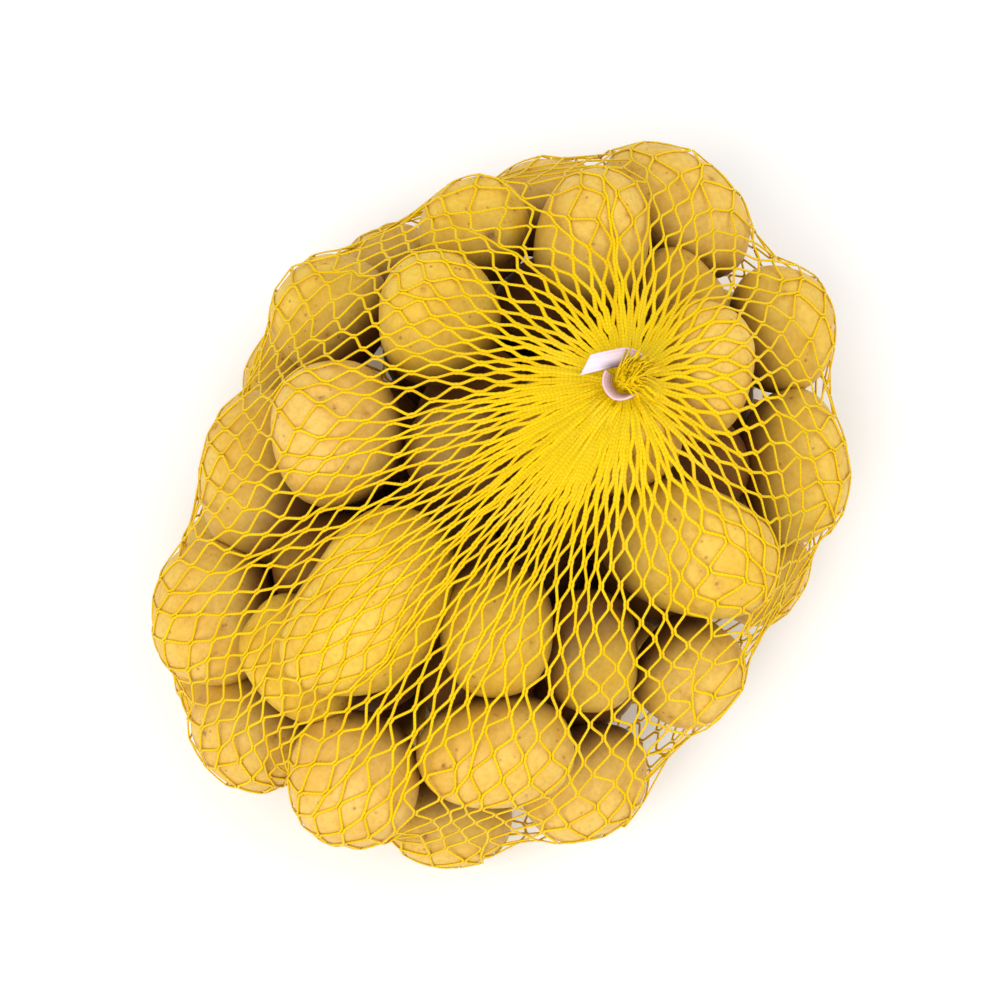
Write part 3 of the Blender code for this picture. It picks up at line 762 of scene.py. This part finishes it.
def make_uneven(knots, potatoes, rng):
    """Moves the knots a little along the net, so that its meshes differ and threads bunch."""
    around, down, _, room = net_ways(knots)
    alone, columns, along = UNEVEN
    first, full = UNEVEN_FROM
    calm = np.clip((np.arange(ROWS + 1) - first) / (full - first), 0, 1)[:, None]
    shift = alone * smooth_field(rng, (0, 0)) * calm + columns * smooth_field(rng, UNEVEN_COLUMNS)
    length = along * MESH_SIDE * smooth_field(rng, UNEVEN_ALONG).ravel()
    shift = (shift.ravel() * room).clip(-SHIFT_MOST * room, SHIFT_MOST * room)
    inside = np.repeat(np.arange(ROWS + 1) % ROWS > 0, KNOTS_ROUND)[:, None]
    moved = knots + shift[:, None] * around + length[:, None] * down
    moved = keep_off_clips(potatoes.push_out(moved, THREAD / 2))
    moved[:, 2] = np.maximum(moved[:, 2], 0)
    return np.where(inside, moved, knots)


def strand_paths(knots, rng):
    """Middle line of every strand from neck to neck, the way out, and its place in a pile."""
    places, side = strand_places()
    around, down, out, room = net_ways(knots)
    inner = slice(1, ROWS)
    at = places[:, inner]
    beside = side[:, inner, None]
    space = room[at][..., None]
    deep = rng.uniform(0, 1, 2 * KNOTS_ROUND)
    wander = rng.normal(0, PILE_STRAY, at.shape)
    layers = np.clip(2 * STRAND_WIDE / space - 1, 0, None)
    lift = layers * PILE * np.clip(deep[:, None] + wander, 0, 1)[..., None]
    middle = knots[at] + lift * out[at]
    ends = np.minimum(JOINED_END, TIGHT_END * space) * beside * around[at]
    bulge = np.minimum(JOINED_MIDDLE, TIGHT_MIDDLE * space) * beside * around[at]
    before = middle - JOINED * down[at] + ends
    after = middle + JOINED * down[at] + ends
    middle = middle + bulge
    pieces = []
    for share in BETWEEN_KNOTS:
        pieces.append(after[:, :-1] * (1 - share) + before[:, 1:] * share)
    joints = np.stack([before, middle, after], axis=2)
    body = np.concatenate([joints[:, :-1], np.stack(pieces, axis=2)], axis=2)
    body = body.reshape(2 * KNOTS_ROUND, -1, 3)
    body = np.concatenate([body, joints[:, -1]], axis=1)
    normal = np.repeat(out[at], KNOT_POINTS, axis=1)[:, : body.shape[1]]
    return body, normal, deep


def relax_strands(body, potatoes, rounds):
    """Rounds the strands' bends and keeps them on the potatoes and off the surface."""
    clear = STRAND_THICK / 2 + STRAND_CLEAR
    for number in range(rounds):
        if number:
            near = (body[:, :-2] + body[:, 2:]) / 2
            body[:, 1:-1] = (1 - STRAND_EASE) * body[:, 1:-1] + STRAND_EASE * near
        flat = potatoes.push_out(body.reshape(-1, 3), clear)
        flat[:, 2] = np.maximum(flat[:, 2], clear)
        body = flat.reshape(body.shape)
    return body


def smooth_along(values, rounds):
    for _ in range(rounds):
        values[:, 1:-1] = (values[:, :-2] + 2 * values[:, 1:-1] + values[:, 2:]) / 4
    return values


def all_strands(knots, potatoes, rng):
    """Middle line of every strand from cut end to cut end, the way out, and its size."""
    body, normal, deep = strand_paths(knots, rng)
    body = relax_strands(body, potatoes, STRAND_ROUNDS)
    top_rays, base_rays = neck_rays(0.0, 1), neck_rays(1.0, 1)
    top = neck_path(TOP_NECK, 1, TOP_STAND, top_rays, deep, rng)
    base = neck_path(BASE_NECK, -1, BASE_STAND, base_rays, deep, rng)
    tuft = top_tuft(top[:, -1], rng)
    stub = base_tuft(base[:, -1], base_rays, rng)
    path = np.concatenate([tuft[:, ::-1], top[:, ::-1], body, base, stub], axis=1)
    top_out, base_out = (np.repeat(rays[:, None], END_POINTS, 1) for rays in (top_rays, base_rays))
    normal = np.concatenate([top_out, normal, base_out], axis=1)
    size = np.ones(path.shape[:2])
    size[:, :END_POINTS] = BUNDLE
    size[:, -END_POINTS:] = BUNDLE
    return path, unit(smooth_along(normal, NORMAL_ROUNDS)), smooth_along(size, SIZE_ROUNDS)


def broad_near_necks(path, size):
    """Strands lie broader beside the necks, where pairs of them run flat."""
    far = [np.linalg.norm(path - np.array(neck), axis=2) for neck in (TOP_NECK, BASE_NECK)]
    return size * np.interp(np.minimum(*far), BROAD_NEAR, (1 + BROAD, 1))


def add_strands(name, path, normal, size, tone, material):
    """Tubes of a flat oval section along the middle lines, closed at both ends."""
    count, length = path.shape[:2]
    tangent = unit(np.gradient(path, axis=1))
    across = unit(np.cross(tangent, normal))
    broad = broad_near_necks(path, size)
    raised = np.cross(across, tangent)
    points = []
    for k in range(STRAND_SIDES):
        a = 2 * math.pi * k / STRAND_SIDES
        wide = STRAND_WIDE / 2 * math.cos(a) * broad[..., None] * across
        thick = STRAND_THICK / 2 * math.sin(a) * size[..., None] * raised
        points.append(path + wide + thick)
    points = np.stack(points, axis=2)
    run = np.linalg.norm(np.diff(path, axis=1), axis=2)
    run = np.concatenate([np.zeros((count, 1)), np.cumsum(run, axis=1)], axis=1)
    index = np.arange(count * length * STRAND_SIDES).reshape(count, length, STRAND_SIDES)
    low, high = index[:, :-1], index[:, 1:]
    quads = np.stack([low, high, np.roll(high, -1, axis=2), np.roll(low, -1, axis=2)], axis=-1)
    quads = quads.reshape(-1, 4)
    u = np.broadcast_to(run[:, :-1, None], (count, length - 1, STRAND_SIDES))
    v = np.broadcast_to(run[:, 1:, None], u.shape)
    k = np.broadcast_to(np.arange(STRAND_SIDES) / STRAND_SIDES, u.shape)
    up = k + 1 / STRAND_SIDES
    uvs = np.stack([u, k, v, k, v, up, u, up], axis=-1).reshape(-1, 2)
    first, last = index[:, 0], index[:, -1]
    caps = np.vstack([first[:, [0, 1, 2, 3]], first[:, [0, 3, 4, 5]]])
    caps = np.vstack([caps, last[:, [3, 2, 1, 0]], last[:, [5, 4, 3, 0]]])
    quads = np.vstack([quads, caps])
    uvs = np.vstack([uvs, np.zeros((len(caps) * 4, 2))])
    tones = np.repeat(tone, length * STRAND_SIDES)
    spots = place(points.reshape(-1, 3))
    return new_mesh_object(name, spots, quads, material, uvs=uvs, values=(("tone", tones),))


# ---- Clips ----


def clip_stations(leaning, tab):
    """Foot, lean and outward way of the strip along its wrap, and along its tail."""
    radius = NECK_RADIUS + CLIP_GAP + CLIP_WALL / 2
    angles, leans = zip(*leaning)
    stations = []
    for angle in np.linspace(CLIP_START, CLIP_END, WRAP_STATIONS):
        a = math.radians(angle)
        out = np.array([math.cos(a), math.sin(a), 0])
        climb = min(1, max(0, (angle - CLIP_END + CLIMB) / CLIMB))
        lift = tab * CLIP_LIFT * climb * climb * (3 - 2 * climb) * UP
        stations.append((radius * out + lift, np.interp(angle, angles, leans), out))
    if tab:
        ahead = turn_about_z(TAB_TURN) @ np.array([-out[1], out[0], 0])
        out = np.array([ahead[1], -ahead[0], 0])
        foot = stations[-1][0]
        for share in np.linspace(TAB_STARTS, 1.0, TAB_STATIONS):
            bend = TAB_BENDS * math.sin(math.pi * share) * UP
            stations.append((foot + share * TAB_LONG * ahead + bend, leans[-1], out))
    return stations


def strip_section():
    """Outline of the strip: thickness from -1 to 1, height from 0 to 1, with round edges."""
    flat = 0.5 * CLIP_WALL / CLIP_BAND
    section = []
    for corner in range(2):
        for a in np.linspace(-math.pi / 2, math.pi / 2, EDGE_STEPS):
            side = math.sin(a) * (1 if corner else -1)
            up = 1 - flat + flat * math.cos(a) if corner == 0 else flat - flat * math.cos(a)
            section.append((-side, up))
    heights = np.linspace(flat, 1 - flat, EDGE_STEPS)[1:-1]
    left = [(-1.0, h) for h in heights]
    right = [(1.0, h) for h in heights[::-1]]
    return section[:EDGE_STEPS] + left[::-1] + section[EDGE_STEPS:] + right[::-1]


def add_clip(name, neck, way, stand, leaning, tab, material):
    """The wound plastic strip with rounded edges, its free tail cut askew."""
    rows, wrap_shades, fold_shadows = [], [], []
    stations = clip_stations(leaning, tab)
    for number, (foot, lean, out) in enumerate(stations):
        a = math.radians(lean)
        rise = math.cos(a) * UP + math.sin(a) * out
        thick = CLIP_WALL / 2 * (math.cos(a) * out - math.sin(a) * UP)
        ahead = np.cross(UP, out)
        tail = tab * max(0, number - len(stations) + SKEWED_STATIONS) / (SKEWED_STATIONS - 1)
        # Painted shade on the wound part, fading to white along the tab.
        wrap = np.interp(number, WRAP_SHADE_FADES, WRAP_SHADE_SHARES) if tab else 1
        # Painted shadow along the lower part of the tab's foot.
        fold_shadow_share = np.interp(number, FOLD_SHADOW_SPAN, FOLD_SHADOW_SHARES) if tab else 0
        row = []
        for side, up in strip_section():
            skew = TAB_SKEW * tail**2 * (1 - 2 * up)
            row.append(foot + side * thick + up * CLIP_BAND * rise + skew * ahead)
            wrap_shades.append(wrap)
            fold_shadows.append(fold_shadow_share * max(0, 1 - up / FOLD_SHADOW_HIGH))
        rows.append(row)
    points = np.array(rows)
    points[..., 2] = (points[..., 2] + stand) * way
    points = points + np.array(neck)
    around = points.shape[1]
    index = np.arange(points.shape[0] * around).reshape(-1, around)
    low, high = index[:-1], index[1:]
    quads = np.stack([low, np.roll(low, -1, 1), np.roll(high, -1, 1), high], axis=-1)
    caps = []
    for ring, turn in ((index[0], 1), (index[-1], -1)):
        for k in range(around // 2 - 1):
            cap = [ring[k], ring[k + 1], ring[around - 2 - k], ring[around - 1 - k]]
            caps.append(cap[::-turn])
    quads = np.vstack([quads.reshape(-1, 4), np.array(caps)])
    if way < 0:
        quads = quads[:, ::-1]
    values = (("wrap", wrap_shades), ("fold_shadow", fold_shadows))
    spots = place(points.reshape(-1, 3))
    return new_mesh_object(name, spots, quads, material, values=values)


# ---- Materials ----


class Nodes:
    """Short calls for building a material's node tree."""

    def __init__(self, name):
        self.material = bpy.data.materials.new(name)
        self.material.use_nodes = True
        self.tree = self.material.node_tree
        self.shader = self.tree.nodes["Principled BSDF"]

    def where(self, kind="Object"):
        return self.tree.nodes.new("ShaderNodeTexCoord").outputs[kind]

    def feed(self, socket, value):
        if isinstance(value, bpy.types.NodeSocket):
            self.tree.links.new(value, socket)
        else:
            socket.default_value = value

    def math(self, operation, a, b=0.0):
        node = self.tree.nodes.new("ShaderNodeMath")
        node.operation = operation
        self.feed(node.inputs[0], a)
        self.feed(node.inputs[1], b)
        return node.outputs[0]

    def span(self, value, low, high, start=0.0, end=1.0):
        """From `start` to `end` as the value goes from `low` to `high`, with soft ends."""
        node = self.tree.nodes.new("ShaderNodeMapRange")
        node.interpolation_type = "SMOOTHSTEP"
        keys = ("Value", "From Min", "From Max", "To Min", "To Max")
        for key, number in zip(keys, (value, low, high, start, end)):
            self.feed(node.inputs[key], number)
        return node.outputs[0]

    def mix(self, share, a, b):
        node = self.tree.nodes.new("ShaderNodeMix")
        node.data_type = "RGBA"
        self.feed(node.inputs[0], share)
        self.feed(node.inputs[6], a)
        self.feed(node.inputs[7], b)
        return node.outputs[2]

    def noise(self, where, scale, detail=3.0, rough=0.5):
        node = self.tree.nodes.new("ShaderNodeTexNoise")
        self.feed(node.inputs["Vector"], where)
        for key, number in (("Scale", scale), ("Detail", detail), ("Roughness", rough)):
            node.inputs[key].default_value = number
        return node.outputs["Fac"]

    def value(self, name):
        node = self.tree.nodes.new("ShaderNodeAttribute")
        node.attribute_name = name
        return node.outputs["Fac"]

    def bump(self, height, strength, deep):
        node = self.tree.nodes.new("ShaderNodeBump")
        node.inputs["Strength"].default_value = strength
        node.inputs["Distance"].default_value = deep * MM
        self.feed(node.inputs["Height"], height)
        self.feed(self.shader.inputs["Normal"], node.outputs["Normal"])

    def surface(self, colour, roughness, gloss=0.5):
        self.feed(self.shader.inputs["Base Color"], colour)
        self.feed(self.shader.inputs["Roughness"], roughness)
        self.shader.inputs["Specular IOR Level"].default_value = gloss

    def glow(self, weight, radius, deep):
        """Light that goes into the surface and comes out again beside it."""
        self.shader.inputs["Subsurface Weight"].default_value = weight
        self.shader.inputs["Subsurface Radius"].default_value = radius
        self.shader.inputs["Subsurface Scale"].default_value = deep * MM


def rgb(colour):
    """A colour as it looks on screen, 0 to 255, as the shader's linear one."""
    screen = np.array(colour) / 255
    linear = np.where(screen <= 0.04045, screen / 12.92, ((screen + 0.055) / 1.055) ** 2.4)
    return (*linear, 1.0)


def potato_skin(name, gloss):
    n = Nodes(name)
    where = n.where()
    patches = n.span(n.noise(where, PATCHES), 0.35, 0.68)
    mottle = n.noise(where, MOTTLE, 5.0, 0.65)
    tint = n.value("tint")
    base = n.mix(tint, *map(rgb, SKIN_BASE))
    warm = n.mix(tint, *map(rgb, SKIN_WARM))
    colour = n.mix(n.math("MULTIPLY", patches, 0.65), base, warm)
    colour = n.mix(n.span(mottle, 0.38, 0.70, 0.0, 0.45), colour, rgb(SKIN_MOTTLED))
    fleck = n.tree.nodes.new("ShaderNodeTexVoronoi")
    n.feed(fleck.inputs["Vector"], where)
    fleck.inputs["Scale"].default_value = FLECKS
    rare = n.span(n.noise(where, FLECK_PATCHES, 2.0), 0.50, 0.62)
    flecks = n.math("MULTIPLY", n.span(fleck.outputs["Distance"], 0.10, 0.24, 1.0, 0.0), rare)
    colour = n.mix(n.math("MULTIPLY", flecks, 0.6), colour, rgb(SKIN_FLECK))
    ragged = n.math("MULTIPLY", n.noise(where, RAGGED, 2.0), 1.4)
    ragged = n.math("ADD", n.value("eye_far"), ragged)
    for low, high, share, shade in ((0.9, 3.2, 0.35, EYE_RIM), (0.8, 1.9, 0.75, EYE_PIT)):
        near = n.math("MULTIPLY", n.span(ragged, low, high, 1.0, 0.0), share)
        colour = n.mix(near, colour, rgb(shade))
    # Painted shade: the farther a skin lies from the net, the darker and browner it is painted.
    deep = n.span(n.value("deep"), *PAINTED_SHADE_REACH, 0.0, PAINTED_SHADE_MOST)
    n.surface(n.mix(deep, colour, rgb(SKIN_PAINTED_SHADE)), n.span(mottle, 0.3, 0.75, 0.42, 0.62), gloss)
    fine = n.noise(where, GRAIN, 4.0, 0.6)
    height = n.math("ADD", n.math("MULTIPLY", mottle, 0.6), n.math("MULTIPLY", fine, 0.35))
    n.bump(n.math("SUBTRACT", height, n.math("MULTIPLY", flecks, 0.3)), 0.35, 0.5)
    n.glow(0.12, (1.0, 0.45, 0.15), 4.0)
    return n.material


def net_yarn():
    """Yarn with its stitches: the UV map's u is the length along it, v the way round it."""
    n = Nodes("net_yarn")
    split = n.tree.nodes.new("ShaderNodeSeparateXYZ")
    n.feed(split.inputs[0], n.where("UV"))
    along, around = split.outputs[:2]
    side = n.math("ABSOLUTE", n.math("SINE", n.math("MULTIPLY", around, 2 * math.pi)))
    turn = n.math("MULTIPLY", along, 2 * math.pi / STITCH)
    turn = n.math("ADD", turn, n.math("MULTIPLY", side, STITCH_SLANT))
    loops = n.math("MULTIPLY", n.math("ADD", n.math("SINE", turn), 1.0), 0.5)
    colour = n.mix(n.value("tone"), *map(rgb, YARN))
    # Painted shade: the yarn is painted darker and more orange in the grooves between stitch loops.
    colour = n.mix(n.span(loops, 0.0, 0.6, 0.30, 0.0), colour, rgb(YARN_GROOVE_SHADE))
    worn = n.span(n.noise(n.where(), WORN_PATCHES, 2.0), 0.45, 0.75, 0.0, 0.08)
    n.surface(n.mix(worn, colour, rgb(YARN_WORN)), 0.45, 0.12)
    n.bump(loops, 0.35, 0.25)
    n.glow(0.25, (1.0, 0.7, 0.1), 1.5)
    return n.material


def clip_plastic():
    n = Nodes("clip_plastic")
    where = n.where()
    cloud = n.noise(where, CLOUDS, 2.0)
    colour = n.mix(cloud, *map(rgb, PLASTIC))
    # Painted shade: a pinkish grey on the strip's wound part.
    colour = n.mix(n.value("wrap"), colour, rgb(PLASTIC_WRAP_SHADE))
    # Painted shadow at the tab's fold.
    colour = n.mix(n.value("fold_shadow"), colour, rgb(PLASTIC_FOLD_SHADOW))
    n.surface(colour, n.span(cloud, 0.3, 0.7, 0.28, 0.40))
    n.bump(n.noise(where, STREAKS, 2.0), 0.15, 0.2)
    n.glow(0.2, (1.0, 0.9, 0.9), 1.0)
    return n.material


def floor_white():
    n = Nodes("floor_white")
    n.surface((FLOOR, FLOOR, FLOOR, 1), 0.9)
    return n.material


# ---- Floor, light and camera ----


def add_floor():
    corners = [(x * FLOOR_HALF, y * FLOOR_HALF, 0) for x, y in ((-1, -1), (1, -1), (1, 1), (-1, 1))]
    mesh = bpy.data.meshes.new("floor")
    mesh.from_pydata(corners, [], [(0, 1, 2, 3)])
    mesh.materials.append(floor_white())
    floor = bpy.data.objects.new("floor", mesh)
    bpy.context.scene.collection.objects.link(floor)


def add_light(name, spot, size, watts, colour):
    data = bpy.data.lights.new(name, "AREA")
    data.shape = "DISK"
    data.size = size
    data.energy = watts
    data.color = colour
    lamp = bpy.data.objects.new(name, data)
    at, target = map(Vector, place([spot, (0, 0, BAG_MIDDLE)]))
    lamp.location = at
    lamp.rotation_euler = (target - at).to_track_quat("-Z", "Y").to_euler()
    bpy.context.scene.collection.objects.link(lamp)


def add_world():
    world = bpy.data.worlds.new("studio")
    world.use_nodes = True
    back = world.node_tree.nodes["Background"]
    back.inputs["Color"].default_value = (1, 1, 1, 1)
    back.inputs["Strength"].default_value = SKY
    bpy.context.scene.world = world


def add_camera():
    tilt = math.radians(CAMERA_TILT)
    aim = np.array(AIM)
    spot = aim + CAMERA_FAR * np.array([0, -math.cos(tilt), math.sin(tilt)])
    data = bpy.data.cameras.new("camera")
    data.lens = CAMERA_LENS
    data.sensor_width = CAMERA_SENSOR
    camera = bpy.data.objects.new("camera", data)
    spot, aim, beside, middle = place([spot, aim, (1, 0, 0), (0, 0, 0)])
    back = Vector(spot - aim).normalized()
    right = Vector(beside - middle).normalized()
    turn = Matrix((right, back.cross(right), back)).transposed()
    camera.matrix_world = Matrix.Translation(Vector(spot)) @ turn.to_4x4()
    bpy.context.scene.collection.objects.link(camera)
    bpy.context.scene.camera = camera


def main():
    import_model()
    add_camera()
    add_world()
    add_floor()
    for light in LIGHTS:
        add_light(*light)
    bpy.context.scene.view_settings.view_transform = "Standard"

    potatoes = make_potatoes()
    knots = draw_tight(loose_net(), potatoes)
    rng = np.random.default_rng(SEED + 1)
    knots = make_uneven(knots, potatoes, rng)
    skin = potato_skin("potato_skin", SKIN_GLOSS)
    dull_skin = potato_skin("dull_potato_skin", DULL_GLOSS)
    shown = range(len(SHOWN))
    hidden = range(len(SHOWN), len(potatoes.middles))
    heap = (
        ("potatoes_above", shown, SHOWN_GRID, skin),
        ("potatoes_below", hidden, HIDDEN_GRID, dull_skin),
    )
    pieces = []
    for name, numbers, grid, material in heap:
        made = add_potatoes(name, potatoes, numbers, grid, material, knots, rng)
        pieces.append((made, "net_bag"))
    path, normal, size = all_strands(knots, potatoes, rng)
    tone = rng.uniform(0, 1, len(path))
    yarn = net_yarn()
    third = len(path) // 3
    parts = (slice(0, third), slice(third, 2 * third), slice(2 * third, None))
    for name, part in zip(("net_first", "net_second", "net_third"), parts):
        strands = add_strands(name, path[part], normal[part], size[part], tone[part], yarn)
        pieces.append((strands, "net_bag"))
    plastic = clip_plastic()
    top = add_clip("clip_strip", TOP_NECK, 1, TOP_STAND, TOP_LEANS, True, plastic)
    base = add_clip("clip_band", BASE_NECK, -1, BASE_STAND, BASE_LEANS, False, plastic)
    pieces += [(top, "top_clip"), (base, "base_clip")]
    for piece, node in pieces:
        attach(piece, "root")
        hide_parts(node)


main()
